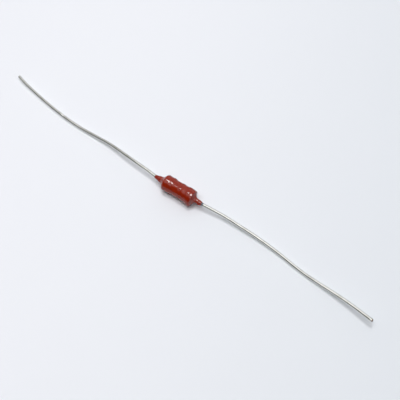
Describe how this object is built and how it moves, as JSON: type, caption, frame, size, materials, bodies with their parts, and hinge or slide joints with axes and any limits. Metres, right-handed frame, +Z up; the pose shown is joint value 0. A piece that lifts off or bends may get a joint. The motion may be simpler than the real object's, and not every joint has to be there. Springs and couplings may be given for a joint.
{
  "type": "axial inductor",
  "caption": "Axial inductor: a red dip-coated, waisted body on a wound ferrite drum, with a long, gently bent tinned wire lead at each end.",
  "frame": {"origin": "on the floor, under the middle of the whole part's box, just behind the middle of the coated body", "axes": "+X along the coated body's axis towards the right lead, +Y towards the back, +Z up from the floor the part lies on"},
  "size_m": [0.0806, 0.0066, 0.003],
  "materials": {
    "coat": "glossy brick-red dipped lacquer with low swells",
    "tinned_wire": "bright tinned copper, drawn along its length",
    "ferrite": "matt dark grey fired ferrite",
    "enamelled_copper": "enamelled copper wire",
    "solder": "satin solder",
    "cement": "matt set resin"
  },
  "bodies": {
    "root": {"coating": "coat", "ferrite_core": "ferrite", "winding": "enamelled_copper", "lead_left": "tinned_wire", "lead_right": "tinned_wire", "solder_left": "solder", "solder_right": "solder", "cement_left": "cement", "cement_right": "cement"}
  },
  "joints": []
}
